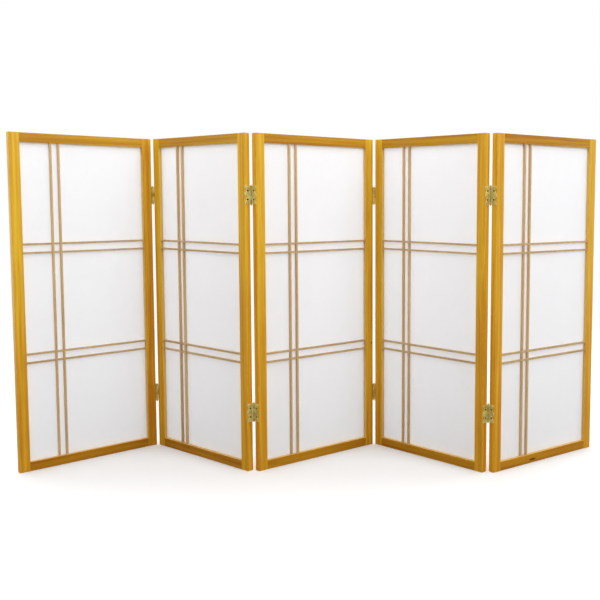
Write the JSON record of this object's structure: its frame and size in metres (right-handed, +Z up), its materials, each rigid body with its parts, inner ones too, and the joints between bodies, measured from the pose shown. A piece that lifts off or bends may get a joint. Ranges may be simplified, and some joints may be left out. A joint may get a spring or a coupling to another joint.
{
  "type": "folding shoji floor screen",
  "caption": "Floor-standing folding screen of hinged wooden frames with a slender crossed lattice over white paper.",
  "frame": {"origin": "centre of the standing screen's floor outline, on the floor", "axes": "+Z up; +X along the row of panels, left to right seen from the front; +Y from the front to the back"},
  "size_m": [1.6063, 0.3066, 0.914],
  "materials": {
    "frame_wood": "honey stain under satin clear coat",
    "lattice_wood": "pale wood, stained on the face, satin",
    "rice_paper": "fibrous white laminated paper, matt",
    "hinge_brass": "pale brass plate, bright"
  },
  "bodies": {
    "panel_1": {"panel_1_left_stile": "frame_wood", "panel_1_right_stile": "frame_wood", "panel_1_top_rail": "frame_wood", "panel_1_bottom_rail": "frame_wood", "panel_1_upright_bars": "lattice_wood", "panel_1_upper_bars": "lattice_wood", "panel_1_lower_bars": "lattice_wood", "panel_1_paper": "rice_paper", "panel_1_screws": "hinge_brass", "fold_1_left_leaves": "hinge_brass", "fold_1_pins": "hinge_brass"},
    "panel_2": {"panel_2_left_stile": "frame_wood", "panel_2_right_stile": "frame_wood", "panel_2_top_rail": "frame_wood", "panel_2_bottom_rail": "frame_wood", "panel_2_upright_bars": "lattice_wood", "panel_2_upper_bars": "lattice_wood", "panel_2_lower_bars": "lattice_wood", "panel_2_paper": "rice_paper", "panel_2_screws": "hinge_brass", "fold_1_right_leaves": "hinge_brass", "fold_2_left_leaves": "hinge_brass", "fold_2_pins": "hinge_brass"},
    "panel_3": {"panel_3_left_stile": "frame_wood", "panel_3_right_stile": "frame_wood", "panel_3_top_rail": "frame_wood", "panel_3_bottom_rail": "frame_wood", "panel_3_upright_bars": "lattice_wood", "panel_3_upper_bars": "lattice_wood", "panel_3_lower_bars": "lattice_wood", "panel_3_paper": "rice_paper", "panel_3_screws": "hinge_brass", "fold_2_right_leaves": "hinge_brass", "fold_3_left_leaves": "hinge_brass", "fold_3_pins": "hinge_brass"},
    "panel_4": {"panel_4_left_stile": "frame_wood", "panel_4_right_stile": "frame_wood", "panel_4_top_rail": "frame_wood", "panel_4_bottom_rail": "frame_wood", "panel_4_upright_bars": "lattice_wood", "panel_4_upper_bars": "lattice_wood", "panel_4_lower_bars": "lattice_wood", "panel_4_paper": "rice_paper", "panel_4_screws": "hinge_brass", "fold_3_right_leaves": "hinge_brass", "fold_4_left_leaves": "hinge_brass", "fold_4_pins": "hinge_brass"},
    "panel_5": {"panel_5_left_stile": "frame_wood", "panel_5_right_stile": "frame_wood", "panel_5_top_rail": "frame_wood", "panel_5_bottom_rail": "frame_wood", "panel_5_upright_bars": "lattice_wood", "panel_5_upper_bars": "lattice_wood", "panel_5_lower_bars": "lattice_wood", "panel_5_paper": "rice_paper", "panel_5_screws": "hinge_brass", "fold_4_right_leaves": "hinge_brass"}
  },
  "joints": [
    {"name": "fold_1", "type": "hinge", "parent": "panel_2", "child": "panel_1", "pos_m": [-0.49652, 0.12361, 0.161], "axis": [0, 0, 1], "range_deg": [-82.4, 97.6]},
    {"name": "fold_2", "type": "hinge", "parent": "panel_3", "child": "panel_2", "pos_m": [-0.16507, -0.11209, 0.161], "axis": [0, 0, -1], "range_deg": [-80.2, 95.8]},
    {"name": "fold_3", "type": "hinge", "parent": "panel_3", "child": "panel_4", "pos_m": [0.15535, 0.1384, 0.161], "axis": [0, 0, -1], "range_deg": [-83.5, 92.5]},
    {"name": "fold_4", "type": "hinge", "parent": "panel_4", "child": "panel_5", "pos_m": [0.47268, -0.11599, 0.161], "axis": [0, 0, 1], "range_deg": [-80.2, 99.8]}
  ]
}
